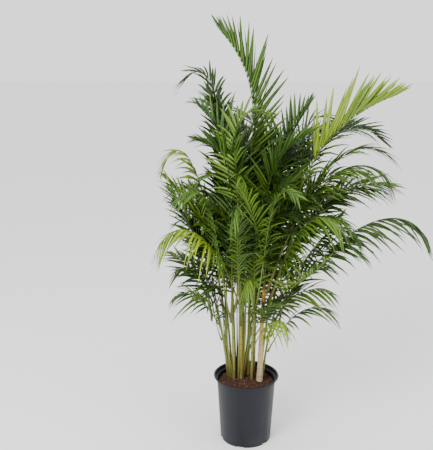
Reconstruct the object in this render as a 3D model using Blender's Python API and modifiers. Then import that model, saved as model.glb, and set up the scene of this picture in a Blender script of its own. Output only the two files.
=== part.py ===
"""A potted cane palm, 1.5 m tall: a clump of ringed canes rooted in peat in a round nursery pot.

Each cane carries feather fronds. A frond is one piece: a petiole that rises beside its cane, a
rachis that arches over, and a row of pointed leaflets on each side. The origin is the centre of
the pot's flat underside, +Z is up and -Y is the front of the plant.
"""

import math

import bmesh
import bpy
from mathutils import Matrix, Vector
from mathutils.bvhtree import BVHTree
from mathutils.geometry import interpolate_bezier

# Driving dimensions, in metres and degrees.
GAP = 0.0003  # air left between pieces that touch

POT_HEIGHT = 0.250
RIM_RADIUS = 0.120
RIM_THICK = 0.004
COLLAR_HEIGHT = 0.016
COLLAR_RADIUS = 0.1135
WALL_TOP_RADIUS = 0.1075
BASE_RADIUS = 0.0940
POT_WALL = 0.0025
POT_STEPS = 48
NOTCHES = 6
FIRST_NOTCH = -104.0  # degrees round from +X, so that one notch is just left of the front
NOTCH_SIZE = (0.026, 0.024, 0.018)  # radial, along the rim of the base, upright; half is cut

SOIL_TOP = 0.228
SOIL_MOUND = 0.006
ROOTED = 0.050  # how deep a cane stands in the soil

CANE_SIDES = 8
CANE_PIECES = 5
PETIOLE_PIECES = 5
PETIOLE_HALF = 0.0026
RACHIS_HALF = 0.0011
TIP_HALF = 0.0003
BARE_SHARE = 0.40  # of a frond's length that carries no leaflets
TERMINAL = 0.10  # the end leaflet, of a frond's length
LEAFLET_PAIRS = 11
LEAFLET_SIZES = (1.0, 0.8, 0.6, 0.42, 0.28)  # tried in turn, of the full length
LEAFLET_TURNS = (0, 9, -9)  # degrees tried round its foot
SWAYS = sorted(range(-42, 43, 3), key=abs)  # degrees tried round the cane
FOOT_SHIFTS = (0, -0.015, 0.015, -0.030, -0.045, -0.060, -0.080)  # tried up and down it

# Each cane: foot x and y on the soil, top x, y and z, radius at the foot and at the top.
CANES = {
    "cane_pale": (0.050, 0.000, 0.066, 0.012, 0.66, 0.0120, 0.0068),
    "cane_lime": (-0.018, 0.019, -0.026, 0.010, 0.66, 0.0085, 0.0060),
    "cane_yellow": (0.009, 0.050, 0.014, 0.040, 0.70, 0.0065, 0.0055),
    "cane_left": (-0.040, 0.062, -0.060, 0.066, 0.70, 0.0060, 0.0050),
    "cane_left_thin": (-0.052, 0.034, -0.088, 0.022, 0.62, 0.0050, 0.0040),
    "cane_left_outer": (-0.067, 0.046, -0.128, 0.060, 0.56, 0.0045, 0.0038),
    "cane_right_thin": (0.064, 0.036, 0.122, 0.024, 0.56, 0.0045, 0.0038),
    "cane_right_outer": (0.058, 0.058, 0.108, 0.088, 0.60, 0.0050, 0.0040),
    "cane_back": (-0.008, 0.078, -0.018, 0.112, 0.74, 0.0070, 0.0055),
    "cane_back_right": (0.032, 0.080, 0.048, 0.116, 0.72, 0.0060, 0.0050),
    "cane_centre": (0.028, 0.056, 0.046, 0.054, 0.76, 0.0065, 0.0055),
    "cane_front": (-0.044, 0.008, -0.058, -0.030, 0.60, 0.0050, 0.0042),
    "cane_front_right": (0.020, 0.004, 0.026, -0.034, 0.60, 0.0055, 0.0045),
}
STUB = (0.025, 0.028, 0.027, 0.030, 0.315, 0.0065, 0.0045)

# Each frond: its cane, the height of its foot, the way it leans in degrees round from +X,
# how far its tip reaches from its foot in plan, the tip's height, the slope of its end in
# degrees, the longest leaflet, the leaflets' lift above the frond's plane and the frond's roll.
FRONDS = (
    ("cane_centre", 0.66, 176, 0.165, 1.510, 46, 0.190, 12, 38),
    ("cane_pale", 0.56, -8, 0.455, 1.285, 22, 0.170, 55, 0),
    ("cane_back_right", 0.62, 6, 0.480, 1.080, -48, 0.140, 40, 0),
    ("cane_pale", 0.62, -12, 0.425, 0.970, -58, 0.150, -20, 0),
    ("cane_right_outer", 0.52, -6, 0.440, 0.945, -15, 0.130, 15, 25),
    ("cane_right_thin", 0.44, -4, 0.550, 0.755, -62, 0.150, -40, 0),
    ("cane_right_thin", 0.52, -20, 0.280, 0.780, -60, 0.120, -30, 0),
    ("cane_right_outer", 0.44, -8, 0.350, 0.690, -40, 0.110, 10, 15),
    ("cane_right_thin", 0.38, 8, 0.230, 0.640, -5, 0.130, 15, 20),
    ("cane_right_outer", 0.36, -14, 0.250, 0.560, -20, 0.120, -10, 15),
    ("cane_right_thin", 0.32, -10, 0.250, 0.475, -50, 0.100, -20, 0),
    ("cane_back", 0.66, 160, 0.240, 1.300, -50, 0.150, 15, -30),
    ("cane_left", 0.60, 128, 0.160, 1.290, 30, 0.150, 30, -50),
    ("cane_left", 0.56, 186, 0.250, 1.030, -62, 0.150, -20, -20),
    ("cane_lime", 0.52, 212, 0.320, 0.785, -52, 0.160, -50, 0),
    ("cane_left_thin", 0.48, 178, 0.190, 0.630, -45, 0.120, -10, -15),
    ("cane_left_outer", 0.42, 178, 0.170, 0.530, -40, 0.110, -15, -15),
    ("cane_left_outer", 0.36, 196, 0.100, 0.540, 5, 0.070, 10, 0),
    ("cane_front_right", 0.48, 262, 0.200, 0.640, -58, 0.110, -40, 0),
    ("cane_front_right", 0.36, -46, 0.150, 0.470, -62, 0.090, -40, 0),
    ("cane_front", 0.50, 12, 0.140, 1.190, -30, 0.140, 30, 30),
    ("cane_centre", 0.58, 14, 0.200, 1.250, 52, 0.180, 25, 45),
    ("cane_right_outer", 0.56, 14, 0.240, 1.170, -25, 0.150, 20, 0),
    ("cane_yellow", 0.58, -30, 0.240, 1.160, 25, 0.170, 35, 40),
    ("cane_yellow", 0.54, 215, 0.240, 1.130, 15, 0.170, 30, -40),
    ("cane_lime", 0.60, 160, 0.170, 1.240, 40, 0.160, 20, -55),
    ("cane_left_thin", 0.54, 170, 0.200, 0.920, -35, 0.150, 10, -25),
    ("cane_left_outer", 0.50, 165, 0.150, 0.800, -45, 0.130, -10, -20),
    ("cane_front", 0.46, 220, 0.250, 0.940, -35, 0.150, -15, -20),
    ("cane_front_right", 0.50, 300, 0.260, 0.960, -25, 0.150, 10, 30),
    ("cane_pale", 0.46, 325, 0.300, 0.840, -45, 0.140, -25, 20),
    ("cane_lime", 0.44, 262, 0.260, 0.880, -45, 0.140, -25, 0),
)

# The back of the clump is filled by a rule: fronds fan out over a half circle, high and low in turn.
BACK_FRONDS = 12
BACK_CANES = ("cane_back", "cane_back_right", "cane_left", "cane_right_outer", "cane_centre")
BACK_FIRST, BACK_FAN = 28, 138  # degrees round from +X
BACK_FOOT, BACK_REACH = 0.60, 0.30
BACK_TIP, BACK_TIP_SPREAD = 1.02, 0.24

PLASTIC = (0.038, 0.044, 0.055)
PEAT = (0.055, 0.026, 0.016)
CANE_COLOURS = {"cane_pale": (0.62, 0.50, 0.33), "cane_yellow": (0.50, 0.46, 0.12)}
CANE_GREEN = (0.36, 0.42, 0.12)
DEAD_BROWN = (0.06, 0.035, 0.025)
LEAF_GREEN = (0.065, 0.16, 0.035)

parts = None
cutters = None


def start_scene():
    """Clears the scene and makes one collection for the parts and one for the cutters."""
    global parts, cutters
    for old in list(bpy.data.objects):
        bpy.data.objects.remove(old, do_unlink=True)
    parts = bpy.data.collections.new("Potted cane palm")
    cutters = bpy.data.collections.new("Cutters")
    for collection in (parts, cutters):
        bpy.context.scene.collection.children.link(collection)


def material(name, colour, roughness):
    made = bpy.data.materials.new(name)
    made.use_nodes = True
    shader = made.node_tree.nodes["Principled BSDF"]
    shader.inputs["Base Color"].default_value = (*colour, 1)
    shader.inputs["Roughness"].default_value = roughness
    shader.inputs["Metallic"].default_value = 0
    made.diffuse_color = (*colour, 1)
    return made


def add_object(name, data, finish):
    made = bpy.data.objects.new(name, data)
    data.materials.append(finish)
    parts.objects.link(made)
    return made


def turned(name, profile, steps, finish):
    """A closed body turned round Z from (radius, height) points that run up inside and down outside."""
    mesh = bpy.data.meshes.new(name)
    points = [(radius, 0, height) for radius, height in profile]
    mesh.from_pydata(points, [(i, i + 1) for i in range(len(points) - 1)], [])
    made = add_object(name, mesh, finish)
    screw = made.modifiers.new("Turn", "SCREW")
    screw.angle = 2 * math.pi
    screw.steps = steps
    screw.render_steps = steps
    screw.use_merge_vertices = True
    screw.merge_threshold = 0.00005
    return made


def cut(body, cutter):
    cutter.hide_render = True
    cutter.display_type = "WIRE"
    cutters.objects.link(cutter)
    boolean = body.modifiers.new(cutter.name, "BOOLEAN")
    boolean.operation = "DIFFERENCE"
    boolean.solver = "EXACT"
    boolean.object = cutter


def wall_radius(height):
    """The pot wall's outer radius at a height."""
    share = height / (POT_HEIGHT - COLLAR_HEIGHT)
    return BASE_RADIUS + (WALL_TOP_RADIUS - BASE_RADIUS) * share


def make_pot():
    collar_foot = POT_HEIGHT - COLLAR_HEIGHT
    inside_top = COLLAR_RADIUS - POT_WALL + 0.001
    profile = [
        (0, POT_WALL),
        (wall_radius(0) - POT_WALL, POT_WALL),
        (wall_radius(collar_foot) - POT_WALL, collar_foot),
        (inside_top, collar_foot + 0.004),
        (inside_top + 0.001, POT_HEIGHT),
        (RIM_RADIUS - 0.0015, POT_HEIGHT),
        (RIM_RADIUS, POT_HEIGHT - 0.0015),
        (RIM_RADIUS, POT_HEIGHT - RIM_THICK),
        (COLLAR_RADIUS + 0.0015, POT_HEIGHT - RIM_THICK - 0.0015),
        (COLLAR_RADIUS, collar_foot + 0.002),
        (wall_radius(collar_foot), collar_foot),
        (wall_radius(0.003), 0.003),
        (BASE_RADIUS - 0.002, 0),
        (0, 0),
    ]
    pot = turned("nursery_pot", profile, POT_STEPS, material("Matt slate plastic", PLASTIC, 0.55))
    for i in range(NOTCHES):
        bm = bmesh.new()
        turn = Matrix.Rotation(math.radians(FIRST_NOTCH + 360 * i / NOTCHES), 4, "Z")
        out = Matrix.Translation((BASE_RADIUS, 0, 0))
        bmesh.ops.create_cube(bm, size=1, matrix=turn @ out @ Matrix.Diagonal((*NOTCH_SIZE, 1)))
        mesh = bpy.data.meshes.new(f"notch_{i}")
        bm.to_mesh(mesh)
        bm.free()
        cut(pot, bpy.data.objects.new(f"notch_{i}", mesh))


def cane_points(row):
    """The cane's axis: straight in the soil, then leaning out more and more to its top."""
    foot = Vector((row[0], row[1], SOIL_TOP))
    top = Vector(row[2:5])
    rise = top - foot
    low = foot + Vector((0.15 * rise.x, 0.15 * rise.y, 0.35 * rise.z))
    high = top - Vector((0.45 * rise.x, 0.45 * rise.y, 0.32 * rise.z))
    points = interpolate_bezier(foot, low, high, top, CANE_PIECES + 1)
    way = (points[1] - points[0]).normalized()
    return [foot - way * ROOTED, *points]


def cane_radii(row, count):
    """Widest at the soil, soon as thin as at the top."""
    shares = [max(0, i - 1) / (count - 2) for i in range(count)]
    return [row[6] + (row[5] - row[6]) * (1 - share) ** 3 for share in shares]


def make_cane(name, row, finish):
    points = cane_points(row)
    curve = bpy.data.curves.new(name, "CURVE")
    curve.dimensions = "3D"
    curve.bevel_depth = 1.0
    curve.bevel_resolution = CANE_SIDES // 2 - 2
    curve.use_fill_caps = True
    spline = curve.splines.new("POLY")
    spline.points.add(len(points) - 1)
    for knot, point, radius in zip(spline.points, points, cane_radii(row, len(points))):
        knot.co = (*point, 1)
        knot.radius = radius
    add_object(name, curve, finish)
    return points


def make_soil(canes):
    """Peat that fills the pot and crowns a little, with a socket round each rooted cane."""
    floor = POT_WALL + GAP
    edge = SOIL_TOP - SOIL_MOUND
    profile = [
        (0, SOIL_TOP),
        (0.05, SOIL_TOP - 0.15 * SOIL_MOUND),
        (0.085, SOIL_TOP - 0.5 * SOIL_MOUND),
        (wall_radius(edge) - POT_WALL - GAP, edge),
        (wall_radius(floor) - POT_WALL - GAP, floor),
        (0, floor),
    ]
    soil = turned("potting_soil", profile, POT_STEPS, material("Peat", PEAT, 0.95))
    for name, row in canes.items():
        points = cane_points(row)
        way = (points[1] - points[0]).normalized()
        sides = 12
        radius = (row[5] + GAP) / math.cos(math.pi / sides)
        length = 2 * ROOTED
        bm = bmesh.new()
        middle = points[0] + way * (length / 2 - GAP)
        place = Matrix.Translation(middle) @ way.to_track_quat("Z", "Y").to_matrix().to_4x4()
        bmesh.ops.create_cone(bm, cap_ends=True, segments=sides, radius1=radius, radius2=radius,
                              depth=length, matrix=place)
        mesh = bpy.data.meshes.new(f"socket_{name}")
        bm.to_mesh(mesh)
        bm.free()
        cut(soil, bpy.data.objects.new(f"socket_{name}", mesh))


def surface_of(obj):
    """The object's outside as points and faces, for clearance tests."""
    graph = bpy.context.evaluated_depsgraph_get()
    evaluated = obj.evaluated_get(graph)
    mesh = evaluated.to_mesh()
    points = [obj.matrix_world @ vertex.co for vertex in mesh.vertices]
    faces = [tuple(polygon.vertices) for polygon in mesh.polygons]
    evaluated.to_mesh_clear()
    return points, faces


def tree_of(shapes):
    """One search tree over several (points, faces) shapes."""
    points, faces = [], []
    for more_points, more_faces in shapes:
        first = len(points)
        points += more_points
        faces += [tuple(first + i for i in face) for face in more_faces]
    return BVHTree.FromPolygons(points, faces)


def axis_at(points, height):
    """Where a cane's axis passes a height, and the way it runs there."""
    for low, high in zip(points[1:], points[2:]):
        if low.z <= height <= high.z:
            share = (height - low.z) / (high.z - low.z)
            return low.lerp(high, share), (high - low).normalized()
    return points[-1], (points[-1] - points[-2]).normalized()


def rachis_path(axis, skin, row, sway, shift):
    """A frond's spine: it leaves its cane's side along the cane and ends at its tip's slope."""
    _, height, azimuth, reach, tip_height, slope = row[:6]
    turn = math.radians(azimuth + sway)
    out = Vector((math.cos(turn), math.sin(turn), 0))
    centre, way = axis_at(axis, height + shift)
    on_skin, normal, _, _ = skin.find_nearest(centre + out * 0.03)
    foot = on_skin + normal * (PETIOLE_HALF + GAP)
    tip = Vector((centre.x, centre.y, 0)) + out * reach + Vector((0, 0, tip_height))
    span = (tip - foot).length
    leave = (way + 0.16 * normal + 0.10 * out).normalized()
    fall = math.radians(slope)
    arrive = out * math.cos(fall) + Vector((0, 0, math.sin(fall)))
    return interpolate_bezier(foot, foot + leave * (0.52 * span), tip - arrive * (0.42 * span), tip, 60)


def along(path, share):
    """The point at a share of the path's length, and the way it runs there."""
    lengths = [0.0]
    for here, there in zip(path, path[1:]):
        lengths.append(lengths[-1] + (there - here).length)
    wanted = share * lengths[-1]
    for i in range(1, len(path)):
        if lengths[i] >= wanted or i == len(path) - 1:
            part = (wanted - lengths[i - 1]) / (lengths[i] - lengths[i - 1])
            return path[i - 1].lerp(path[i], part), (path[i] - path[i - 1]).normalized()


def stations():
    """Where a frond's rings lie, as shares of its length: a bare petiole, leaflets, end leaflet."""
    bare = [BARE_SHARE * i / PETIOLE_PIECES for i in range(PETIOLE_PIECES)]
    leafy = 1 - TERMINAL - BARE_SHARE
    return [*bare, *[BARE_SHARE + leafy * i / LEAFLET_PAIRS for i in range(LEAFLET_PAIRS + 1)], 1]


def frame_at(path, share, row):
    """The centre, forward, side and upper directions of the rachis at a share of its length."""
    centre, way = along(path, share)
    out = Vector((path[-1].x - path[0].x, path[-1].y - path[0].y, 0)).normalized()
    side = Vector((0, 0, 1)).cross(out)
    side = (side - way * side.dot(way)).normalized()
    roll = math.radians(row[8]) * min(1, share / BARE_SHARE)
    side = Matrix.Rotation(roll, 3, way) @ side
    return centre, way, side, way.cross(side)


def ring_at(path, share, row):
    """The four corners of the rachis's section, wider than it is thick where leaflets leave it."""
    centre, _, side, upper = frame_at(path, share, row)
    if share < BARE_SHARE:
        half = PETIOLE_HALF + (RACHIS_HALF - PETIOLE_HALF) * share / BARE_SHARE
    else:
        half = RACHIS_HALF + (TIP_HALF - RACHIS_HALF) * (share - BARE_SHARE) / (1 - BARE_SHARE)
    return [centre + side * half * a + upper * half * b for a, b in ((1, 1), (-1, 1), (-1, -1), (1, -1))]


def stalk_shape(rings):
    points = [corner for ring in rings for corner in ring]
    faces = [(0, 1, 2, 3), tuple(range(len(points) - 4, len(points)))]
    for i in range(0, len(points) - 4, 4):
        faces += [(i + a, i + (a + 1) % 4, i + 4 + (a + 1) % 4, i + 4 + a) for a in range(4)]
    return points, faces


def swell(rings, extra):
    """The same rings, each a little larger, so that what clears them has air to spare."""
    made = []
    for ring in rings:
        centre = sum(ring, Vector()) / 4
        made.append([corner + (corner - centre).normalized() * extra for corner in ring])
    return made


def place_stalk(row, axes, skins, grown):
    """The frond's path, swayed by the least angle that brings it clear of what has grown."""
    others = tree_of(grown)
    for shift in FOOT_SHIFTS:
        for sway in SWAYS:
            path = rachis_path(axes[row[0]], skins[row[0]], row, sway, shift)
            rings = [ring_at(path, share, row) for share in stations()]
            body = tree_of([stalk_shape(swell(rings[1:], 2 * GAP))])
            foot = tree_of([stalk_shape(rings[:2])])
            if not body.overlap(others) and not foot.overlap(others):
                return path, rings
    raise RuntimeError(f"no clear place for the frond on {row[0]} that leans {row[2]} degrees")


def leaflet_tip(path, row, share, hand, size, turn):
    """Where a leaflet ends: it leaves at a wide angle low on the rachis and a narrow one near its end."""
    centre, way, side, upper = frame_at(path, share, row)
    ripe = (share - BARE_SHARE) / (1 - BARE_SHARE)
    length = row[6] * (0.62 + 0.38 * math.sin(math.pi * min(1, 1.25 * ripe + 0.15)))
    whole = sum((b - a).length for a, b in zip(path, path[1:]))
    length = size * min(length, 0.85 * (1 - share) * whole)
    angle = math.radians(58 - 32 * ripe + turn)
    lift = math.radians(row[7])
    sideways = side * hand * math.cos(lift) + upper * math.sin(lift)
    return centre + (way * math.cos(angle) + sideways * math.sin(angle)) * length


def spike_shape(base, tip):
    return [*base, tip], [(0, 1, 2, 3), (0, 1, 4), (1, 2, 4), (2, 3, 4), (3, 0, 4)]


def grow_leaflets(path, rings, row, others):
    """Each leaflet as (ring, side face, tip), as long as its neighbours leave room for."""
    shares = stations()
    own = [stalk_shape(rings)]
    leaflets, spikes = [], []
    for i in range(PETIOLE_PIECES, PETIOLE_PIECES + LEAFLET_PAIRS):
        for hand, low, high in ((1, 3, 0), (-1, 1, 2)):
            base = [rings[i][low], rings[i][high], rings[i + 1][high], rings[i + 1][low]]
            middle = (shares[i] + shares[i + 1]) / 2
            found = None
            for size in LEAFLET_SIZES:
                for turn in LEAFLET_TURNS:
                    tip = leaflet_tip(path, row, middle, hand, size, turn)
                    outer = [corner.lerp(tip, 0.25) for corner in base]
                    whole = tree_of([spike_shape(base, tip)])
                    end = tree_of([spike_shape(outer, tip)])
                    if not whole.overlap(others) and not end.overlap(tree_of(own)):
                        found = tip
                        break
                if found:
                    break
            if found:
                spikes.append(spike_shape(base, found))
                own.append(spike_shape([corner.lerp(found, 0.02) for corner in base], found))
                leaflets.append((i, hand, found))
    return leaflets, spikes


def make_frond(name, rings, leaflets, finish):
    """A square section drawn along the rings, its side faces poked out into leaflets."""
    bm = bmesh.new()
    bmesh.ops.create_circle(bm, cap_ends=True, segments=4, radius=1)
    bm.faces.ensure_lookup_table()
    end = bm.faces[0]
    for vertex, corner in zip(end.verts, rings[0]):
        vertex.co = corner
    sides = []
    for ring in rings[1:]:
        end = bmesh.ops.extrude_discrete_faces(bm, faces=[end])["faces"][0]
        for vertex, corner in zip(end.verts, ring):
            vertex.co = corner
        walls = [next(f for f in loop.edge.link_faces if f is not end) for loop in end.loops]
        sides.append({1: walls[3], -1: walls[1]})
    for i, hand, tip in leaflets:
        middle = bmesh.ops.poke(bm, faces=[sides[i][hand]])["verts"][0]
        middle.co = tip
    bmesh.ops.holes_fill(bm, edges=bm.edges, sides=4)
    bmesh.ops.recalc_face_normals(bm, faces=bm.faces)
    mesh = bpy.data.meshes.new(name)
    bm.to_mesh(mesh)
    bm.free()
    add_object(name, mesh, finish)


def back_fronds():
    """Fronds that fan out over the back, each lower or higher than its neighbour."""
    rows = []
    for i in range(BACK_FRONDS):
        cane = BACK_CANES[i % len(BACK_CANES)]
        azimuth = BACK_FIRST + BACK_FAN * ((i * 0.618) % 1)
        tip = BACK_TIP + BACK_TIP_SPREAD * math.sin(2.4 * i)
        reach = BACK_REACH * (1.1 - 0.3 * math.sin(2.4 * i))
        slope = 40 * math.sin(2.4 * i) - 18
        foot = BACK_FOOT - 0.06 * (i // len(BACK_CANES))
        rows.append((cane, foot, azimuth, reach, tip, slope, 0.15, 15, 0))
    return rows


def main():
    start_scene()
    make_pot()
    green = material("Green cane", CANE_GREEN, 0.45)
    axes = {}
    for name, row in CANES.items():
        colour = CANE_COLOURS.get(name)
        axes[name] = make_cane(name, row, material(f"Skin of {name}", colour, 0.45) if colour else green)
    make_cane("old_stub", STUB, material("Dead cane", DEAD_BROWN, 0.8))
    make_soil({**CANES, "old_stub": STUB})
    bpy.context.view_layer.update()
    names = [*CANES, "old_stub"]
    grown = [surface_of(bpy.data.objects[name]) for name in names]
    skins = {name: tree_of([shape]) for name, shape in zip(names, grown)}
    rows = [*FRONDS, *back_fronds()]
    stalks = []
    for row in rows:
        path, rings = place_stalk(row, axes, skins, grown)
        stalks.append((path, rings))
        grown.append(stalk_shape(rings))
    first_stalk = len(names)
    leaf = material("Leaf", LEAF_GREEN, 0.4)
    for i, (row, (path, rings)) in enumerate(zip(rows, stalks)):
        others = tree_of([shape for n, shape in enumerate(grown) if n != first_stalk + i])
        leaflets, spikes = grow_leaflets(path, rings, row, others)
        grown += spikes
        make_frond(f"frond_{i + 1:02d}", rings, leaflets, leaf)


main()
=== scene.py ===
# %% [markdown]
# # A potted cane palm
# The plant is a clump of ringed canes in a black nursery pot. Every cane carries feather fronds: a
# petiole that arches into a rachis, with narrow folded leaflets on both sides. The solids of the
# packed frame say where each piece is; this script gives each of them its real surface.

# %% Load the frame
import heapq
import math

import bmesh
import bpy
from mathutils import Matrix, Vector
from mathutils.geometry import interpolate_bezier


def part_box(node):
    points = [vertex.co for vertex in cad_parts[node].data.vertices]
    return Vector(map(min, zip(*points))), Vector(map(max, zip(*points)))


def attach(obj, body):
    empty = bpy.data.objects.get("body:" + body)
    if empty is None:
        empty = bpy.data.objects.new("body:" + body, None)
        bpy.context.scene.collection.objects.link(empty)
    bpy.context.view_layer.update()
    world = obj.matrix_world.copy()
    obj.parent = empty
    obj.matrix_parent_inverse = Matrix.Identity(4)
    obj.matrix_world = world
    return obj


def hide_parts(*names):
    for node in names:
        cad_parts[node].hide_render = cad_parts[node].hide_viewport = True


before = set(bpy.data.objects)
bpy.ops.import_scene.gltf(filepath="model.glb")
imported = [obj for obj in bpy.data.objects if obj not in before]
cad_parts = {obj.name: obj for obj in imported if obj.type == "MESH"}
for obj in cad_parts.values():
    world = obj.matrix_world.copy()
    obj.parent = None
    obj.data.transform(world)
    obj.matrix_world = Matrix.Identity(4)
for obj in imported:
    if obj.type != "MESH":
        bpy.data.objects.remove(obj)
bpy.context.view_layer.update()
node_names = sorted(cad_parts)
cane_names = [name for name in node_names if name.startswith("cane_") or name == "old_stub"]
frond_names = [name for name in node_names if name.startswith("frond_")]

# %% [markdown]
# ## Shader maths as Python
# A material is a small program. Writing it as expressions keeps it readable, so a class wraps a
# socket and adds the Math node that each operator stands for. Colours go through Mix nodes.

# %% A socket that does sums


class Value:
    """A socket that adds Math nodes for Python's operators."""

    def __init__(self, maker, socket):
        self.maker = maker
        self.socket = socket

    def __add__(self, other):
        return self.maker.maths("ADD", self, other)

    def __sub__(self, other):
        return self.maker.maths("SUBTRACT", self, other)

    def __mul__(self, other):
        return self.maker.maths("MULTIPLY", self, other)

    def __truediv__(self, other):
        return self.maker.maths("DIVIDE", self, other)

    def __pow__(self, other):
        return self.maker.maths("POWER", self, other)

    def __rsub__(self, other):
        return self.maker.maths("SUBTRACT", other, self)

    __radd__ = __add__
    __rmul__ = __mul__


def set_stops(ramp, stops):
    while len(ramp.elements) < len(stops):
        ramp.elements.new(0.5)
    for element, (place, colour) in zip(ramp.elements, stops):
        element.position = place
        element.color = (*colour, 1)


class Maker:
    """A node tree that grows by calls: each adds a node, sets it up and wires its inputs."""

    def node(self, kind, settings, sockets, output=0):
        made = self.tree.nodes.new(kind)
        for name, value in settings.items():
            if name == "stops":
                set_stops(made.color_ramp, value)
            else:
                setattr(made, name, value)
        for name, value in sockets.items():
            if isinstance(value, Value):
                self.tree.links.new(value.socket, made.inputs[name])
            else:
                made.inputs[name].default_value = value
        return Value(self, made.outputs[output])

    def maths(self, operation, first, second=0.0):
        return self.node("ShaderNodeMath", {"operation": operation}, {0: first, 1: second})


class Paint(Maker):
    """One material's node tree, with its Principled shader."""

    def __init__(self, name, roughness=0.5, **constants):
        self.material = bpy.data.materials.new(name)
        self.material.use_nodes = True
        self.tree = self.material.node_tree
        self.shader = self.tree.nodes["Principled BSDF"]
        self.shader.inputs["Roughness"].default_value = roughness
        for socket, value in constants.items():
            self.shader.inputs[socket.replace("_", " ")].default_value = value

    def attribute(self, name):
        return self.node("ShaderNodeAttribute", {"attribute_name": name}, {}, output="Fac")

    def place(self):
        return self.node("ShaderNodeTexCoord", {}, {}, output="Object")

    def noise(self, scale, detail=3.0, stretch=(1, 1, 1)):
        spot = self.node("ShaderNodeMapping", {}, {"Vector": self.place(), "Scale": stretch})
        return self.node("ShaderNodeTexNoise", {}, {"Vector": spot, "Scale": scale, "Detail": detail})

    def ramp(self, value, stops):
        return self.node("ShaderNodeValToRGB", {"stops": stops}, {"Fac": value})

    def step(self, value, low, high):
        """0 below low, 1 above high, smooth between."""
        names = {"Value": value, "From Min": low, "From Max": high}
        return self.node("ShaderNodeMapRange", {"interpolation_type": "SMOOTHSTEP"}, names)

    def mix(self, share, first, second):
        first = first if isinstance(first, Value) else (*first, 1)
        second = second if isinstance(second, Value) else (*second, 1)
        sockets = {0: share, 6: first, 7: second}
        return self.node("ShaderNodeMix", {"data_type": "RGBA"}, sockets, output=2)

    def colour(self, value):
        self.tree.links.new(value.socket, self.shader.inputs["Base Color"])

    def gloss(self, value):
        self.tree.links.new(value.socket, self.shader.inputs["Roughness"])

    def relief(self, height, strength, distance):
        sockets = {"Height": height, "Strength": strength, "Distance": distance}
        bump = self.node("ShaderNodeBump", {}, sockets)
        self.tree.links.new(bump.socket, self.shader.inputs["Normal"])


print("a socket does the sums", [name.strip("_") for name, way in vars(Value).items() if callable(way)][1:])

# %% [markdown]
# ## The finishes
# The leaves share one material. What changes from frond to frond, from leaflet to leaflet and along
# a leaflet is stored on the mesh as attributes, so that one set of nodes paints all of them: `tone`
# is 0 on an old dark frond and 1 on a young lime one, `leaf` is 0 on the stalk and 1 on a leaflet,
# `along` runs out to a leaflet's tip and `across` over its width.

# %% Leaf finish


def leaf_paint():
    paint = Paint("Palm leaf", 0.42, Specular_IOR_Level=0.32)
    tone, leaf = paint.attribute("tone"), paint.attribute("leaf")
    along, across = paint.attribute("along"), paint.attribute("across")
    chance = paint.attribute("chance")
    drift = paint.noise(9.0, 2.0)
    shade = tone + (chance - 0.5) * 0.24 + (drift - 0.5) * 0.5
    stops = [(0.0, (0.007, 0.024, 0.006)), (0.35, (0.032, 0.088, 0.009)),
             (0.65, (0.110, 0.210, 0.014)), (1.0, (0.340, 0.470, 0.022))]
    blade = paint.ramp(shade, stops)
    rib = 1 - paint.step(across, 0.03, 0.14)
    blade = paint.mix(rib * 0.45, blade, (0.22, 0.30, 0.05))
    veins = paint.node("ShaderNodeTexWave", {"bands_direction": "X"},
                       {"Vector": paint.node("ShaderNodeCombineXYZ", {}, {0: across}), "Scale": 6.0})
    blade = paint.mix(veins * 0.10, blade, (0.16, 0.24, 0.05))
    dry = paint.step(along, 0.93, 1.0) * paint.step(chance, 0.35, 0.8)
    blade = paint.mix(dry * 0.8, blade, (0.20, 0.13, 0.05))
    stalk = paint.ramp(along + (tone - 0.4) * 0.25,
                       [(0.0, (0.10, 0.080, 0.022)), (0.14, (0.15, 0.160, 0.028)),
                        (0.45, (0.12, 0.18, 0.022)), (1.0, (0.06, 0.13, 0.018))])
    paint.colour(paint.mix(leaf, stalk, blade))
    paint.gloss(0.36 + (paint.noise(60.0) - 0.5) * 0.2 + (1 - leaf) * 0.1)
    paint.relief(veins * leaf + paint.noise(240.0) * 0.3, 0.25, 0.0004)
    return paint.material


def cane_paint(name, foot, middle, top, ring):
    """A cane is pale and dusty at its foot and greener above, with a scar at each ring."""
    paint = Paint(name, 0.5)
    along, scar = paint.attribute("along"), paint.attribute("scar")
    streak = paint.noise(55.0, 4.0, (1, 1, 0.12))
    skin = paint.ramp(along + (streak - 0.5) * 0.3, [(0.02, foot), (0.35, middle), (0.85, top)])
    blotch = paint.step(paint.noise(38.0, 5.0, (1, 1, 0.45)), 0.56, 0.72)
    skin = paint.mix(blotch * 0.62, skin, ring)
    paint.colour(paint.mix(scar * 0.75, skin, ring))
    paint.gloss(0.42 + streak * 0.25)
    paint.relief(streak + paint.noise(400.0) * 0.4 - scar, 0.5, 0.0008)
    return paint.material


def plastic_paint():
    """Moulded plastic with a fine even grain, faint vertical flow marks and some dust at the foot."""
    paint = Paint("Slate nursery plastic", 0.5, Specular_IOR_Level=0.24)
    height = paint.node("ShaderNodeSeparateXYZ", {}, {0: paint.place()}, output=2)
    flow = paint.noise(26.0, 3.0, (1, 1, 0.08))
    cloud = paint.noise(14.0, 4.0)
    body = paint.ramp(flow * 0.5 + cloud * 0.5,
                      [(0.3, (0.0045, 0.0055, 0.0095)), (0.7, (0.0080, 0.0096, 0.0150))])
    dust = (1 - paint.step(height, 0.0, 0.06)) * paint.step(cloud, 0.4, 0.7)
    paint.colour(paint.mix(dust * 0.22, body, (0.06, 0.055, 0.05)))
    paint.gloss(0.46 + (cloud - 0.5) * 0.22)
    paint.relief(paint.noise(900.0, 2.0) + flow * 0.3, 0.18, 0.0004)
    return paint.material


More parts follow.
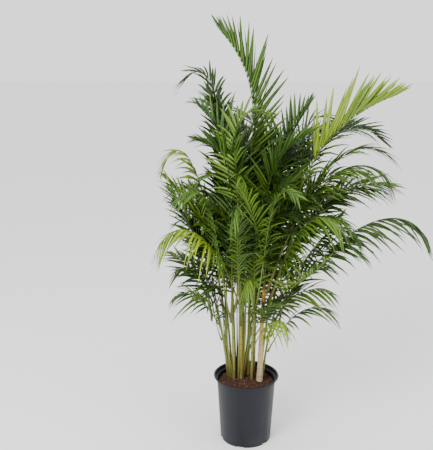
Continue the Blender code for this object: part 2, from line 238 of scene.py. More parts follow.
def peat_paint():
    paint = Paint("Damp peat", 0.92, Specular_IOR_Level=0.25)
    grain, clod = paint.noise(420.0, 5.0), paint.noise(70.0, 4.0)
    soil = paint.ramp(grain * 0.6 + clod * 0.4, [(0.32, (0.012, 0.005, 0.003)), (0.5, (0.052, 0.020, 0.012)),
                                                 (0.68, (0.125, 0.055, 0.034))])
    chance = paint.attribute("chance")
    paint.colour(paint.mix(paint.step(chance, 0.82, 0.95) * 0.55, soil, (0.30, 0.20, 0.13)))
    paint.relief(grain + clod, 0.8, 0.002)
    return paint.material


LEAF = leaf_paint()
GREEN_CANE = cane_paint("Green cane skin", (0.12, 0.085, 0.028), (0.19, 0.20, 0.028), (0.08, 0.14, 0.018),
                        (0.045, 0.028, 0.010))
YELLOW_CANE = cane_paint("Yellow cane skin", (0.24, 0.18, 0.05), (0.36, 0.31, 0.04), (0.18, 0.24, 0.03),
                         (0.10, 0.065, 0.02))
PALE_CANE = cane_paint("Pale cane skin", (0.47, 0.38, 0.24), (0.36, 0.26, 0.10), (0.36, 0.20, 0.02),
                       (0.22, 0.14, 0.06))
DEAD_CANE = cane_paint("Dead cane skin", (0.045, 0.028, 0.020), (0.030, 0.018, 0.014), (0.07, 0.04, 0.03),
                       (0.015, 0.01, 0.01))
PLASTIC = plastic_paint()
PEAT = peat_paint()
print("finishes:", [m.name for m in bpy.data.materials])

# %% [markdown]
# ## Building geometry trees
# Geometry Nodes make what repeats along a path. A geometry tree is built by the same calls as a
# paint, so its sums read like sums. Its named inputs are what changes from one piece to the next.

# %% A geometry tree builder


class Grower(Maker):
    """A Geometry Nodes tree with named inputs."""

    def __init__(self, name, inputs):
        self.tree = bpy.data.node_groups.new(name, "GeometryNodeTree")
        face = self.tree.interface
        face.new_socket("Geometry", in_out="INPUT", socket_type="NodeSocketGeometry")
        for label, (kind, value) in inputs.items():
            made = face.new_socket(label, in_out="INPUT", socket_type=f"NodeSocket{kind}")
            if value is not None:
                made.default_value = value
        face.new_socket("Geometry", in_out="OUTPUT", socket_type="NodeSocketGeometry")
        self.source = self.tree.nodes.new("NodeGroupInput").outputs

    def given(self, name):
        return Value(self, self.source[name])

    def vector(self, operation, first, second):
        return self.node("ShaderNodeVectorMath", {"operation": operation}, {0: first, 1: second})

    def scaled(self, vector, size):
        return self.node("ShaderNodeVectorMath", {"operation": "SCALE"}, {0: vector, "Scale": size})

    def store(self, geometry, name, value):
        return self.node("GeometryNodeStoreNamedAttribute", {"domain": "POINT", "data_type": "FLOAT"},
                         {"Geometry": geometry, "Name": name, "Value": value})

    def read(self, name, kind="FLOAT"):
        return self.node("GeometryNodeInputNamedAttribute", {"data_type": kind}, {"Name": name})

    def random(self, low, high, seed):
        sockets = {2: low, 3: high, "Seed": seed}
        return self.node("FunctionNodeRandomValue", {"data_type": "FLOAT"}, sockets, output=1)

    def random_vector(self, low, high, seed):
        sockets = {0: low, 1: high, "Seed": seed}
        return self.node("FunctionNodeRandomValue", {"data_type": "FLOAT_VECTOR"}, sockets)

    def tube(self, curve, radius, corners):
        """A capped tube round a curve."""
        curve = self.node("GeometryNodeSetCurveRadius", {}, {"Curve": curve, "Radius": radius})
        ring = self.node("GeometryNodeCurvePrimitiveCircle", {}, {"Resolution": corners, "Radius": 1.0})
        width = self.node("GeometryNodeInputRadius", {}, {})
        return self.node("GeometryNodeCurveToMesh", {}, {"Curve": curve, "Profile Curve": ring,
                                                         "Scale": width, "Fill Caps": True})

    def join(self, first, second):
        made = self.tree.nodes.new("GeometryNodeJoinGeometry")
        for geometry in (second, first):
            self.tree.links.new(geometry.socket, made.inputs[0])
        return Value(self, made.outputs[0])

    def finish(self, geometry):
        """Realize Instances and Set Material, then the output."""
        solid = self.node("GeometryNodeRealizeInstances", {}, {"Geometry": geometry})
        sockets = {"Geometry": solid, "Material": self.given("Material")}
        painted = self.node("GeometryNodeSetMaterial", {}, sockets)
        self.tree.links.new(painted.socket, self.tree.nodes.new("NodeGroupOutput").inputs[0])
        return self.tree


def grown(name, guide, tree, values):
    """The plain mesh object that the tree makes from a guide mesh."""
    carrier = bpy.data.objects.new(f"{name}_guide", guide)
    bpy.context.collection.objects.link(carrier)
    modifier = carrier.modifiers.new("Grow", "NODES")
    modifier.node_group = tree
    for item in tree.interface.items_tree:
        if item.in_out == "INPUT" and item.name in values:
            modifier[item.identifier] = values[item.name]
    graph = bpy.context.evaluated_depsgraph_get()
    mesh = bpy.data.meshes.new_from_object(carrier.evaluated_get(graph))
    bpy.data.objects.remove(carrier)
    mesh.name = name
    made = bpy.data.objects.new(name, mesh)
    bpy.context.collection.objects.link(made)
    return made


def hand_over(piece, slot, *nodes):
    """The piece rides on the one body and stands for its CAD nodes. The slot is not used."""
    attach(piece, "root")
    if nodes:
        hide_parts(*nodes)


# %% [markdown]
# ## Reading a frond's spine from its solid
# A frond's solid holds its spine: a thin stalk with spikes. The way from the foot to the far end of
# the stalk is the longest shortest path over the mesh's edges, so two sweeps of a shortest-path
# search find both ends. Averaging the corners near each step puts the path on the stalk's axis.

# %% Longest path through a mesh
SOIL_CENTRE = Vector((0, 0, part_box("potting_soil")[1][2]))
STALK_CORNERS = 0.008  # corners of one section of a stalk lie nearer to each other than this


def welded(name):
    """Points and edges of a CAD node, with its loose triangles joined."""
    bm = bmesh.new()
    bm.from_mesh(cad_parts[name].data)
    bmesh.ops.remove_doubles(bm, verts=bm.verts, dist=0.00002)
    points = [vertex.co.copy() for vertex in bm.verts]
    bm.verts.index_update()
    edges = [tuple(vertex.index for vertex in edge.verts) for edge in bm.edges]
    bm.free()
    return points, edges


def sweep(points, near, start):
    """Distance over the edges from the start to each point, and the step before each."""
    far, before, queue = {start: 0.0}, {}, [(0.0, start)]
    while queue:
        gone, here = heapq.heappop(queue)
        if gone > far[here]:
            continue
        for there in near[here]:
            length = gone + (points[there] - points[here]).length
            if length < far.get(there, 1e9):
                far[there], before[there] = length, here
                heapq.heappush(queue, (length, there))
    return far, before


def spine_of(name):
    points, edges = welded(name)
    near = [[] for _ in points]
    for a, b in edges:
        near[a].append(b)
        near[b].append(a)
    far, _ = sweep(points, near, 0)
    one = max(far, key=far.get)
    far, _ = sweep(points, near, one)
    other = max(far, key=far.get)
    foot, tip = sorted((one, other), key=lambda i: (points[i] - SOIL_CENTRE).length)
    _, before = sweep(points, near, foot)
    chain = [tip]
    while chain[-1] != foot:
        chain.append(before[chain[-1]])
    path = []
    for step in reversed(chain):
        close = [p for p in points if (p - points[step]).length < STALK_CORNERS]
        path.append(sum(close, Vector()) / len(close))
    return path


def spaced(path, count):
    """The path again with its points at even distances."""
    lengths = [0.0]
    for here, there in zip(path, path[1:]):
        lengths.append(lengths[-1] + (there - here).length)
    made, step = [], 1
    for i in range(count):
        wanted = lengths[-1] * i / (count - 1)
        while lengths[step] < wanted and step < len(path) - 1:
            step += 1
        gap = max(lengths[step] - lengths[step - 1], 1e-9)
        made.append(path[step - 1].lerp(path[step], (wanted - lengths[step - 1]) / gap))
    return made


def smoothed(path, rounds):
    for _ in range(rounds):
        path = [path[0], *[(a + 2 * b + c) / 4 for a, b, c in zip(path, path[1:], path[2:])], path[-1]]
    return path


SPINE_POINTS = 48
spines = {name: smoothed(spaced(spine_of(name), SPINE_POINTS), 3) for name in frond_names}
print("frond_01 runs from", spines["frond_01"][0][:], "to", spines["frond_01"][-1][:])

# %% [markdown]
# ## The frond tree
# One leaflet is a thin closed blade, folded along its midrib, a metre long and a metre wide until it
# is scaled. The tree resamples the spine and lays two leaflets on each point, one per side. It turns
# them from wide open near the foot to nearly forward at the end, and bends each one down along its
# length as gravity does. The stalk is a tapered tube round the same spine. Leaflets could also be
# placed one by one in a Python loop, but a tree keeps them live: one input changes all of them.

# %% One leaflet blade
# Place along the blade and width there, both as shares.
BLADE_STATIONS = ((0.0, 0.30), (0.08, 0.72), (0.25, 1.0), (0.5, 0.92), (0.75, 0.62), (0.92, 0.26),
                  (1.0, 0.02))
BLADE_FOLD = 0.42  # how high the edges stand over the midrib, of the half width
MIDRIB_HALF = 0.03  # half the thickness at the midrib, of the width


def blade_mesh():
    """Sections of four points, edge, midrib top, edge and midrib bottom, closed at both ends."""
    bm = bmesh.new()
    layers = [bm.verts.layers.float.new(name) for name in ("along", "across", "leaf")]
    sections = []
    for along, width in BLADE_STATIONS:
        half = width / 2
        corners = ((half, half * BLADE_FOLD, 1), (0, MIDRIB_HALF, 0),
                   (-half, half * BLADE_FOLD, 1), (0, -MIDRIB_HALF, 0))
        section = []
        for y, z, across in corners:
            vertex = bm.verts.new((along, y, z))
            for layer, value in zip(layers, (along, across, 1.0)):
                vertex[layer] = value
            section.append(vertex)
        sections.append(section)
    for low, high in zip(sections, sections[1:]):
        for i in range(4):
            bm.faces.new((low[i], low[(i + 1) % 4], high[(i + 1) % 4], high[i]))
    bm.faces.new(sections[0][::-1])
    bm.faces.new(sections[-1])
    bmesh.ops.recalc_face_normals(bm, faces=bm.faces)
    mesh = bpy.data.meshes.new("blade")
    bm.to_mesh(mesh)
    bm.free()
    mesh.shade_smooth()
    return mesh


blade = bpy.data.objects.new("blade_pattern", blade_mesh())
bpy.context.collection.objects.link(blade)
print("one blade has", len(blade.data.polygons), "faces")

# %% The frond tree
LEAFY_END = 0.955  # share of the stalk where the last pair sits
TIP_ROOM = 0.038  # length that even the last leaflets may have
OPENING_LOSS = 0.74  # how much more forward the last leaflets point, in radians


def leaflets(grow, dots, hand):
    """The blade on every point of the stalk, on one side of it; hand is 1 or -1."""
    share, bare = grow.read("share"), grow.given("Bare share")
    ripe = (share - bare) / (1 - bare)
    swell = grow.maths("SINE", grow.maths("MINIMUM", ripe * 0.92 + 0.16, 1.0) * math.pi)
    profile = swell * 0.52 + 0.48
    seed = grow.given("Seed") + (7.0 + hand)

    opening = grow.given("Opening") * (grow.random(0.86, 1.10, seed) - ripe * OPENING_LOSS)
    lift = grow.given("Lift") + grow.random(-0.26, 0.26, seed + 31.0)
    sine, cosine = grow.maths("SINE", lift), grow.maths("COSINE", lift)
    way, side, upper = [grow.read(name, "FLOAT_VECTOR") for name in ("way", "side", "upper")]
    across = grow.vector("ADD", grow.scaled(side, cosine * float(hand)), grow.scaled(upper, sine))
    face = grow.vector("SUBTRACT", grow.scaled(upper, cosine), grow.scaled(side, sine * float(hand)))
    aim = grow.vector("ADD", grow.scaled(way, grow.maths("COSINE", opening)),
                      grow.scaled(across, grow.maths("SINE", opening)))
    turn = grow.node("FunctionNodeAlignRotationToVector", {"axis": "X"}, {"Vector": aim})
    turn = grow.node("FunctionNodeAlignRotationToVector", {"axis": "Z", "pivot_axis": "X"},
                     {"Rotation": turn, "Vector": face})

    room = (1 - share) * grow.given("Frond length") * 0.8 + TIP_ROOM
    length = grow.maths("MINIMUM", profile * grow.given("Leaflet length"), room)
    length = length * grow.random(0.80, 1.06, seed)
    width = grow.given("Leaflet width") * (profile * 0.6 + 0.4)
    scale = grow.node("ShaderNodeCombineXYZ", {}, {0: length, 1: width, 2: width})
    hang = length * grow.random(0.5, 1.5, seed + 57.0)
    points = grow.store(dots, "reach", hang)
    points = grow.store(points, "chance", grow.random(0.0, 1.0, seed))
    shape = grow.node("GeometryNodeObjectInfo", {}, {"Object": grow.given("Blade")}, output="Geometry")
    sockets = {"Points": points, "Instance": shape, "Rotation": turn, "Scale": scale}
    return grow.node("GeometryNodeInstanceOnPoints", {}, sockets)


def drooped(grow, leaves):
    """Each leaflet bent down along its length."""
    fall = grow.read("along") ** 1.8 * grow.given("Droop") * grow.read("reach")
    down = grow.node("ShaderNodeCombineXYZ", {}, {2: fall * -1.0})
    return grow.node("GeometryNodeSetPosition", {}, {"Geometry": leaves, "Offset": down})


def frond_tree():
    inputs = {"Blade": ("Object", None), "Material": ("Material", None), "Pairs": ("Int", 40),
              "Leaflet length": ("Float", 0.2), "Leaflet width": ("Float", 0.014),
              "Lift": ("Float", 0.3), "Droop": ("Float", 0.3), "Bare share": ("Float", 0.38),
              "Frond length": ("Float", 1.0), "Tone": ("Float", 0.4), "Opening": ("Float", 0.95),
              "Stalk radius": ("Float", 0.0026), "Seed": ("Int", 0)}
    grow = Grower("Feather frond", inputs)
    curve = grow.node("GeometryNodeMeshToCurve", {}, {"Mesh": grow.given("Geometry")})
    factor = grow.node("GeometryNodeSplineParameter", {}, {}, output="Factor")
    curve = grow.store(curve, "share", factor)
    sockets = {"Curve": curve, 2: grow.given("Bare share"), 3: LEAFY_END}
    leafy = grow.node("GeometryNodeTrimCurve", {}, sockets)
    sockets = {"Curve": leafy, "Count": grow.given("Pairs")}
    leafy = grow.node("GeometryNodeResampleCurve", {}, sockets)
    dots = grow.node("GeometryNodeCurveToPoints", {"mode": "EVALUATED"}, {"Curve": leafy})
    sides = grow.join(leaflets(grow, dots, 1), leaflets(grow, dots, -1))
    leaves = drooped(grow, grow.node("GeometryNodeRealizeInstances", {}, {"Geometry": sides}))

    share = grow.read("share")
    taper = 1 - share * 0.86 + (1 - share) ** 9.0 * 0.8
    stalk = grow.tube(curve, taper * grow.given("Stalk radius"), 7)
    stalk = grow.store(grow.store(stalk, "along", share), "leaf", 0.0)
    return grow.finish(grow.store(grow.join(leaves, stalk), "tone", grow.given("Tone")))


FROND = frond_tree()
print("frond tree has", len(FROND.nodes), "nodes")

# %% [markdown]
# ## Growing the fronds
# The solids give each spine. What they can't give is each frond's look: how its leaflets stand or
# hang, how long they are, how it is rolled and whether it is old and dark or young and lime.

# %% Frames along a spine


def guide_mesh(name, path, roll, bare):
    """The spine as a chain of edges that carries its forward, side and upper directions."""
    out = Vector((path[-1].x - path[0].x, path[-1].y - path[0].y, 0)).normalized()
    mesh = bpy.data.meshes.new(f"{name}_spine")
    mesh.from_pydata(path, [(i, i + 1) for i in range(len(path) - 1)], [])
    ways, sides, uppers = [], [], []
    for i, here in enumerate(path):
        way = (path[min(i + 1, len(path) - 1)] - path[max(i - 1, 0)]).normalized()
        side = Vector((0, 0, 1)).cross(out)
        side = (side - way * side.dot(way)).normalized()
        turned = math.radians(roll) * min(1, i / (len(path) - 1) / bare)
        side = Matrix.Rotation(turned, 3, way) @ side
        ways.append(way)
        sides.append(side)
        uppers.append(way.cross(side))
    for label, vectors in (("way", ways), ("side", sides), ("upper", uppers)):
        layer = mesh.attributes.new(label, "FLOAT_VECTOR", "POINT")
        layer.data.foreach_set("vector", [number for vector in vectors for number in vector])
    return mesh


def length_of(path):
    return sum((b - a).length for a, b in zip(path, path[1:]))


# %% Every frond of the frame
# Leaflet length, lift in degrees, droop, roll in degrees and tone, where a frond has its own.
LOOKS = {
    "frond_01": (0.205, 46, 0.04, 16, 0.38), "frond_02": (0.235, 48, 0.02, 12, 0.80),
    "frond_03": (0.150, 45, 0.20, 0, 0.10), "frond_04": (0.160, -5, 0.55, 0, 0.45),
    "frond_05": (0.150, 15, 0.30, 25, 0.55), "frond_06": (0.165, -30, 0.50, 0, 0.28),
    "frond_07": (0.130, -20, 0.60, 0, 0.20), "frond_08": (0.130, 10, 0.35, 15, 0.55),
    "frond_09": (0.150, 15, 0.25, 20, 0.62), "frond_10": (0.140, -5, 0.40, 15, 0.58),
    "frond_11": (0.120, -10, 0.40, 0, 0.50), "frond_12": (0.150, 15, 0.35, -30, 0.15),
    "frond_13": (0.150, 30, 0.10, -50, 0.15), "frond_14": (0.150, -10, 0.60, -20, 0.72),
    "frond_15": (0.140, -15, 0.80, 0, 0.82), "frond_16": (0.130, -10, 0.50, -15, 0.30),
    "frond_17": (0.120, -15, 0.50, -15, 0.35), "frond_18": (0.080, 10, 0.20, 0, 0.40),
    "frond_19": (0.105, -15, 0.70, 30, 0.55), "frond_20": (0.110, -40, 0.80, 0, 0.80),
    "frond_21": (0.150, 25, 0.30, 30, 0.55), "frond_22": (0.190, 42, 0.06, 20, 0.36),
    "frond_24": (0.180, 42, 0.15, 20, 0.36), "frond_25": (0.180, 42, 0.15, -18, 0.38),
    "frond_26": (0.170, 44, 0.10, -22, 0.32), "frond_29": (0.130, -10, 0.60, -20, 0.45),
    "frond_30": (0.095, 10, 0.45, 30, 0.42), "frond_31": (0.130, -20, 0.70, 20, 0.50),
    "frond_32": (0.115, -12, 0.60, 35, 0.45), "frond_40": (0.105, 10, 0.30, 0, 0.30),
}
PLAIN_LOOK = (0.165, 10, 0.30, 0, 0.30)  # an inner or rear frond, in the shade of the others
PAIR_SPACING, SPACING_GROWTH = 0.008, 0.055  # long leaflets stand further apart
WIDE_OPEN, OPENING = 0.95, {"frond_02": 0.62, "frond_01": 0.8, "frond_19": 0.6, "frond_32": 0.62}
PLAIN_BARE = 0.34  # share of a stalk that carries no leaflets
BARE_SHARE = {"frond_02": 0.58, "frond_01": 0.42, "frond_21": 0.5, "frond_19": 0.62}


def make_frond(name, path, look, seed, bare=PLAIN_BARE):
    leaflet, lift, droop, roll, tone = look
    length = length_of(path)
    spacing = PAIR_SPACING + SPACING_GROWTH * leaflet
    values = {
        "Blade": blade, "Material": LEAF, "Pairs": max(9, round(length * (1 - bare) / spacing)),
        "Leaflet length": leaflet, "Leaflet width": 0.005 + 0.040 * leaflet, "Lift": math.radians(lift),
        "Droop": droop, "Bare share": bare, "Frond length": length, "Tone": tone,
        "Opening": OPENING.get(name[:8], WIDE_OPEN),
        "Stalk radius": 0.0016 + 0.0013 * min(1, length / 0.8), "Seed": seed,
    }
    return grown(name, guide_mesh(name, path, roll, bare), FROND, values)


faces = 0
for i, name in enumerate(frond_names):
    piece = make_frond(f"{name}_leaf", spines[name], LOOKS.get(name, PLAIN_LOOK), 11 * i + 3,
                       BARE_SHARE.get(name, PLAIN_BARE))
    hand_over(piece, "frond", name)
    faces += len(piece.data.polygons)
print(len(frond_names), "fronds grown,", faces, "faces")

# %% [markdown]
# ## More fronds in the heart of the clump
# A plant of this size has more fronds than the frame has solids for. The further ones start at the
# cane tops and are spread by the golden angle, so that no two lean the same way.

# %% Fronds that only the looks have
GOLDEN_TURN = math.radians(137.5)
EXTRA_FRONDS = 30


def top_of(name):
    """The centre of a cane's upper end."""
    points = [vertex.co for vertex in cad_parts[name].data.vertices]
    height = max(point.z for point in points)
    ends = [point for point in points if point.z > height - 0.003]
    return sum(ends, Vector()) / len(ends)


def arch(foot, tip, out, lean, slope, rise, ease):
    """A path that leaves the foot nearly upright and reaches the tip at a slope in radians."""
    span = (tip - foot).length
    leave = (Vector((0, 0, 1)) + out * lean).normalized()
    arrive = out * math.cos(slope) + Vector((0, 0, math.sin(slope)))
    return interpolate_bezier(foot, foot + leave * rise * span, tip - arrive * ease * span, tip,
                              SPINE_POINTS)


growing = [name for name in cane_names if name != "old_stub"]
for i in range(EXTRA_FRONDS):
    top = top_of(growing[(5 * i) % len(growing)])
    foot = Vector((top.x, top.y, top.z - 0.10 - 0.012 * (i % 4)))
    turn = GOLDEN_TURN * i
    out = Vector((math.cos(turn), math.sin(turn), 0))
    wave = math.sin(2.1 * i)
    reach = (0.17 + 0.05 * wave) * (1 + 0.75 * max(0, out.x))
    tip = foot + out * reach + Vector((0, 0, 0.36 + 0.14 * math.cos(1.7 * i)))
    path = arch(foot, tip, out, 0.12, math.radians(18 + 38 * wave), 0.5, 0.4)
    look = (0.150, 15 + 15 * wave, 0.25, 30 * math.cos(turn), 0.40 + 0.20 * wave)
    name = f"heart_frond_{i + 1:02d}"
    hand_over(make_frond(name, path, look, 900 + i), "frond")
print(EXTRA_FRONDS, "heart fronds grown")

# %% [markdown]
# The clump leans to one side, towards the light it grew in. Several fronds arch over that way above
# each other, and their tips hang.

# %% Fronds on the leaning side
# Azimuth in degrees, foot height, reach, tip height and the slope in degrees at the tip.
LEANING = ((-4, 0.60, 0.41, 1.06, -35), (10, 0.58, 0.37, 1.12, -30), (-18, 0.52, 0.35, 1.00, -30),
           (22, 0.60, 0.34, 1.17, -15), (2, 0.52, 0.43, 0.92, -28), (-30, 0.46, 0.30, 0.84, -35))
for i, (azimuth, low, reach, high, fall) in enumerate(LEANING):
    turn = math.radians(azimuth)
    out = Vector((math.cos(turn), math.sin(turn), 0))
    foot = Vector((0.075, 0.012 * (i - 2), low))
    tip = foot + out * reach + Vector((0, 0, high - low))
    path = arch(foot, tip, out, 0.35, math.radians(fall), 0.45, 0.4)
    look = (0.145, 20 - 6 * i, 0.45, 12 * (i % 3), 0.34 + 0.07 * (i % 4))
    hand_over(make_frond(f"leaning_frond_{i + 1}", path, look, 820 + i), "frond")
print(len(LEANING), "leaning fronds grown")

# %% [markdown]
# Young shoots rise straight from the peat between the canes. Most of a shoot is bare petiole, which
# is what fills the foot of the clump with thin upright stalks.

# %% Young shoots
SHOOTS = 32
SHOOT_CENTRE = Vector((-0.028, 0.036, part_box("potting_soil")[1][2] - 0.008))  # behind the front canes
for i in range(SHOOTS):
    turn = GOLDEN_TURN * i + 0.7
    lean = math.sin(turn) * (0.35 if math.sin(turn) < 0 else 1)  # few shoots grow forward
    out = Vector((math.cos(turn), lean, 0)).normalized()
    wave = math.sin(2.7 * i)
    foot = SHOOT_CENTRE + out * (0.010 + 0.038 * ((i * 0.618) % 1))
    tip = foot + out * (0.17 + 0.06 * wave) + Vector((0, 0, 0.56 + 0.22 * math.cos(1.9 * i)))
    path = arch(foot, tip, out, 0.18, math.radians(5 + 50 * wave), 0.55, 0.35)
    look = (0.125, 5 + 20 * wave, 0.45, 35 * math.sin(turn), 0.36 + 0.22 * math.cos(3.1 * i))
    hand_over(make_frond(f"shoot_{i + 1:02d}", path, look, 700 + i, 0.58), "frond")
bpy.data.objects.remove(blade)
print(SHOOTS, "young shoots grown")

# %% [markdown]
# ## Canes
# A cane is a tapering tube with a ring where each old leaf fell. A bevelled curve object would give
# the tube but not the rings. The solid gives the axis and the thickness, so the tree resamples that
# axis finely, swells it at each ring and marks the scar for the paint.

# %% The cane tree
SCAR_SHARPNESS = 13.0  # the higher, the narrower a ring
SPEAR_WIDTH = 0.14  # width at the very top, of the width below


def cane_tree():
    inputs = {"Material": ("Material", None), "Ring spacing": ("Float", 0.045),
              "Tip taper": ("Float", 0.15), "Seed": ("Int", 0)}
    grow = Grower("Ringed cane", inputs)
    curve = grow.node("GeometryNodeMeshToCurve", {}, {"Mesh": grow.given("Geometry")})
    curve = grow.node("GeometryNodeResampleCurve", {}, {"Curve": curve, "Count": 260})
    along = grow.node("GeometryNodeSplineParameter", {}, {}, output="Factor")
    run = grow.node("GeometryNodeSplineParameter", {}, {}, output="Length")
    wobble = grow.maths("SINE", run * 31.0 + grow.given("Seed")) * 0.012
    cycle = grow.maths("FRACT", (run + wobble) / grow.given("Ring spacing"))
    nearness = 1 - grow.maths("ABSOLUTE", cycle - 0.5) * SCAR_SHARPNESS
    scar = grow.maths("MAXIMUM", nearness, 0.0)
    end = grow.maths("MINIMUM", (1 - along) / grow.given("Tip taper"), 1.0)
    end = end * (1 - SPEAR_WIDTH) + SPEAR_WIDTH
    radius = grow.read("thick") * end * (1 + scar * 0.10)
    curve = grow.store(grow.store(curve, "along", along), "scar", scar)
    return grow.finish(grow.tube(curve, radius, 14))


CANE = cane_tree()
CANE_SECTION = 8  # corners round the solid's section


def cane_guide(name):
    """The cane's axis with its thickness, read from the sections of its solid from foot to top."""
    points, _ = welded(name)
    points = sorted(points, key=lambda point: point.z)
    mesh = bpy.data.meshes.new(f"{name}_axis")
    sections = [points[i:i + CANE_SECTION] for i in range(0, len(points) - CANE_SECTION + 1, CANE_SECTION)]
    centres = [sum(section, Vector()) / len(section) for section in sections]
    mesh.from_pydata(centres, [(i, i + 1) for i in range(len(centres) - 1)], [])
    widths = [max((p - centre).length for p in section) for section, centre in zip(sections, centres)]
    mesh.attributes.new("thick", "FLOAT", "POINT").data.foreach_set("value", widths)
    return mesh


SKINS = {"cane_pale": PALE_CANE, "cane_lime": YELLOW_CANE, "cane_yellow": YELLOW_CANE, "old_stub": DEAD_CANE}
SLOTS = {"cane_pale": "pale_cane", "old_stub": "dead_cane"}
for i, name in enumerate(cane_names):
    values = {"Material": SKINS.get(name, GREEN_CANE), "Ring spacing": 0.030 + 0.006 * (i % 4), "Seed": i,
              "Tip taper": 0.02 if name == "old_stub" else 0.18}
    piece = grown(f"{name}_skin", cane_guide(name), CANE, values)
    hand_over(piece, SLOTS.get(name, "green_cane"), name)
print(len(cane_names), "canes, the first has", len(piece.data.polygons), "faces")

# %% [markdown]
# ## Peat
# The soil is one closed body whose top is rough with clods. Bump alone would leave its edge smooth
# where it meets the canes, so the clods are real corners moved up and down. Crumbs of peat and bits
# of bark lie on it: small lumps of few faces, because there are many, scattered by a tree.

# %% Soil body and crumbs
soil_low, soil_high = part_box("potting_soil")
SOIL_RADIUS = soil_high[0] - 0.0008
SOIL_EDGE = 0.006  # how much lower the soil is at the wall than in the middle


def rough(x, y):
    """Clods as a sum of a few waves of different sizes."""
    broad = math.sin(41 * x + 1.3) * math.cos(37 * y) + 0.6 * math.sin(83 * x - 61 * y)
    fine = 0.5 * math.sin(190 * x + 70 * y) * math.cos(160 * y - 40 * x)
    fine = fine + 0.35 * math.sin(420 * x) * math.sin(390 * y)
    return 0.0011 * (broad + fine)


def soil_mesh():
    bm = bmesh.new()
    spokes, rings = 96, 40
    rows = []
    for ring in range(1, rings + 1):
        radius = SOIL_RADIUS * ring / rings
        row = []
        for spoke in range(spokes):
            turn = 2 * math.pi * spoke / spokes
            x, y = radius * math.cos(turn), radius * math.sin(turn)
            drop = SOIL_EDGE * (ring / rings) ** 2
            row.append(bm.verts.new((x, y, soil_high[2] - 0.002 - drop + rough(x, y))))
        rows.append(row)
    middle = bm.verts.new((0, 0, soil_high[2] - 0.002))
    foot_radius = SOIL_RADIUS * 0.88
    foot = []
    for spoke in range(spokes):
        turn = 2 * math.pi * spoke / spokes
        foot.append(bm.verts.new((foot_radius * math.cos(turn), foot_radius * math.sin(turn), soil_low[2])))
    for s in range(spokes):
        bm.faces.new((middle, rows[0][s], rows[0][(s + 1) % spokes]))
    for low, high in (*zip(rows, rows[1:]), (rows[-1], foot)):
        for s in range(spokes):
            bm.faces.new((low[s], high[s], high[(s + 1) % spokes], low[(s + 1) % spokes]))
    bm.faces.new(foot[::-1])
    bmesh.ops.recalc_face_normals(bm, faces=bm.faces)
    mesh = bpy.data.meshes.new("peat_bed")
    bm.to_mesh(mesh)
    bm.free()
    mesh.shade_smooth()
    mesh.materials.append(PEAT)
    return mesh


def crumb_tree():
    inputs = {"Material": ("Material", None), "Density": ("Float", 32000.0), "Size": ("Float", 0.0046),
              "Seed": ("Int", 5)}
    grow = Grower("Peat crumbs", inputs)
    seed = grow.given("Seed")
    sockets = {"Mesh": grow.given("Geometry"), "Density": grow.given("Density"), "Seed": seed}
    dots = grow.node("GeometryNodeDistributePointsOnFaces", {}, sockets)
    dots = grow.store(dots, "chance", grow.random(0.0, 1.0, seed))
    lump = grow.node("GeometryNodeMeshIcoSphere", {}, {"Radius": 0.5, "Subdivisions": 1})
    angles = grow.random_vector((0, 0, 0), (6.3, 6.3, 6.3), seed)
    turn = grow.node("FunctionNodeEulerToRotation", {}, {0: angles})
    stretch = grow.random_vector((0.5, 0.3, 0.3), (2.0, 0.9, 0.7), seed)
    scale = grow.scaled(stretch, grow.given("Size"))
    sockets = {"Points": dots, "Instance": lump, "Rotation": turn, "Scale": scale}
    return grow.finish(grow.node("GeometryNodeInstanceOnPoints", {}, sockets))


def soil_top_mesh(bed):
    """Only the upper faces of the bed, as the ground that crumbs fall on."""
    bm = bmesh.new()
    bm.from_mesh(bed)
    low = [face for face in bm.faces if face.normal.z < 0.5]
    bmesh.ops.delete(bm, geom=low, context="FACES")
    mesh = bpy.data.meshes.new("soil_top")
    bm.to_mesh(mesh)
    bm.free()
    return mesh


bed = bpy.data.objects.new("peat_bed", soil_mesh())
bpy.context.collection.objects.link(bed)
hand_over(bed, "peat", "potting_soil")
crumbs = grown("peat_crumbs", soil_top_mesh(bed.data), crumb_tree(), {"Material": PEAT, "Seed": 5})
hand_over(crumbs, "peat")
print("crumbs have", len(crumbs.data.polygons), "faces")

# %% [markdown]
# ## The nursery pot
# The container is moulded: a thin wall that widens upwards, a collar and a rolled lip. A profile is
# spun with Screw, since everything but the notches is round. The notches, which let water out from
# under the pot, are cut round the base with rounded blocks and exact Booleans.

# %% Pot
pot_low, pot_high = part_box("nursery_pot")
RIM_RADIUS, POT_HEIGHT = pot_high[0], pot_high[2]
WALL = 0.0025
COLLAR_RADIUS, COLLAR_FOOT = RIM_RADIUS - 0.0065, POT_HEIGHT - 0.016
WALL_TOP, BASE_RADIUS = RIM_RADIUS - 0.0125, RIM_RADIUS - 0.026
POT_SPOKES = 144
NOTCHES, FIRST_NOTCH = 6, -104.0


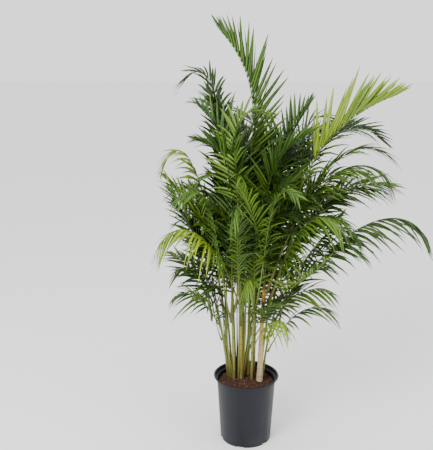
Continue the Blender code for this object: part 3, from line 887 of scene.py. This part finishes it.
def pot_profile():
    """Points up the inside, over the rolled lip and down the outside, (radius, height)."""
    inside = COLLAR_RADIUS - WALL + 0.001
    profile = [(0, WALL), (BASE_RADIUS - WALL - 0.002, WALL), (BASE_RADIUS - WALL, WALL + 0.002),
               (WALL_TOP - WALL, COLLAR_FOOT), (inside, COLLAR_FOOT + 0.004),
               (inside + 0.001, POT_HEIGHT - 0.001), (inside + 0.002, POT_HEIGHT)]
    lip = 0.002
    for step in range(7):
        turn = math.radians(90 - 30 * step)
        profile.append((RIM_RADIUS - lip + lip * math.cos(turn), POT_HEIGHT - lip + lip * math.sin(turn)))
    profile += [(COLLAR_RADIUS + 0.001, POT_HEIGHT - 0.0048), (COLLAR_RADIUS, POT_HEIGHT - 0.006),
                (COLLAR_RADIUS - 0.0005, COLLAR_FOOT + 0.002), (WALL_TOP + 0.0004, COLLAR_FOOT),
                (WALL_TOP, COLLAR_FOOT - 0.001), (BASE_RADIUS, 0.003), (BASE_RADIUS - 0.0012, 0.0006),
                (BASE_RADIUS - 0.003, 0), (0, 0)]
    return profile


def pot_mesh():
    profile = pot_profile()
    guide = bpy.data.meshes.new("pot_profile")
    guide.from_pydata([(r, 0, z) for r, z in profile], [(i, i + 1) for i in range(len(profile) - 1)], [])
    body = bpy.data.objects.new("pot_turned", guide)
    bpy.context.collection.objects.link(body)
    screw = body.modifiers.new("Turn", "SCREW")
    screw.steps = screw.render_steps = POT_SPOKES
    screw.use_merge_vertices = True
    screw.merge_threshold = 0.00005
    cutters = []
    for i in range(NOTCHES):
        bm = bmesh.new()
        turn = Matrix.Rotation(math.radians(FIRST_NOTCH + 360 * i / NOTCHES), 4, "Z")
        out = Matrix.Translation((BASE_RADIUS, 0, 0))
        bmesh.ops.create_cube(bm, size=1, matrix=turn @ out @ Matrix.Diagonal((0.026, 0.024, 0.018, 1)))
        bmesh.ops.bevel(bm, geom=bm.edges, offset=0.003, segments=3, profile=0.5, affect="EDGES")
        mesh = bpy.data.meshes.new(f"notch_{i}")
        bm.to_mesh(mesh)
        bm.free()
        cutter = bpy.data.objects.new(f"notch_{i}", mesh)
        bpy.context.collection.objects.link(cutter)
        cutters.append(cutter)
        boolean = body.modifiers.new(f"Notch {i}", "BOOLEAN")
        boolean.operation, boolean.solver, boolean.object = "DIFFERENCE", "EXACT", cutter
    graph = bpy.context.evaluated_depsgraph_get()
    mesh = bpy.data.meshes.new_from_object(body.evaluated_get(graph))
    for old in (body, *cutters):
        bpy.data.objects.remove(old)
    mesh.shade_smooth()
    mesh.set_sharp_from_angle(angle=math.radians(40))
    mesh.materials.clear()
    mesh.materials.append(PLASTIC)
    return mesh


pot = bpy.data.objects.new("pot_shell", pot_mesh())
bpy.context.collection.objects.link(pot)
hand_over(pot, "pot", "nursery_pot")
print("pot has", len(pot.data.polygons), "faces")

# %% [markdown]
# ## Studio
# A pale floor under a white world, a broad soft key from the upper left front and a weaker fill
# keep the shadows pale. The camera stands at eye height and looks a little down.

# %% Floor, lights and camera
scene = bpy.context.scene
floor_paint = Paint("Pale floor", 0.9)
floor_paint.shader.inputs["Base Color"].default_value = (0.92, 0.92, 0.92, 1)
floor_mesh = bpy.data.meshes.new("floor")
bm = bmesh.new()
bmesh.ops.create_grid(bm, x_segments=1, y_segments=1, size=60)
bm.to_mesh(floor_mesh)
bm.free()
floor = bpy.data.objects.new("floor", floor_mesh)
floor_mesh.materials.append(floor_paint.material)
scene.collection.objects.link(floor)

world = bpy.data.worlds.new("Soft white")
scene.world = world
world.use_nodes = True
world.node_tree.nodes["Background"].inputs["Color"].default_value = (1, 1, 1, 1)
world.node_tree.nodes["Background"].inputs["Strength"].default_value = 1.6


def soft_light(name, place, target, size, power):
    data = bpy.data.lights.new(name, "AREA")
    data.shape, data.size, data.energy = "DISK", size, power
    lamp = bpy.data.objects.new(name, data)
    lamp.location = place
    lamp.rotation_euler = (Vector(target) - Vector(place)).to_track_quat("-Z", "Y").to_euler()
    scene.collection.objects.link(lamp)


soft_light("key", (-1.6, -2.2, 2.9), (0, 0, 0.9), 1.6, 110)
soft_light("fill", (2.4, -1.6, 1.8), (0, 0, 0.7), 2.0, 22)

EYE_HEIGHT, EYE_DISTANCE, EYE_SIDE = 1.36, 2.263, -0.11
LOOK_DOWN = 13.45  # degrees
camera_data = bpy.data.cameras.new("camera")
camera_data.lens = 52.96
camera = bpy.data.objects.new("camera", camera_data)
camera.location = (EYE_SIDE, -EYE_DISTANCE, EYE_HEIGHT)
camera.rotation_euler = (math.radians(90 - LOOK_DOWN), 0, 0)
scene.collection.objects.link(camera)
scene.camera = camera
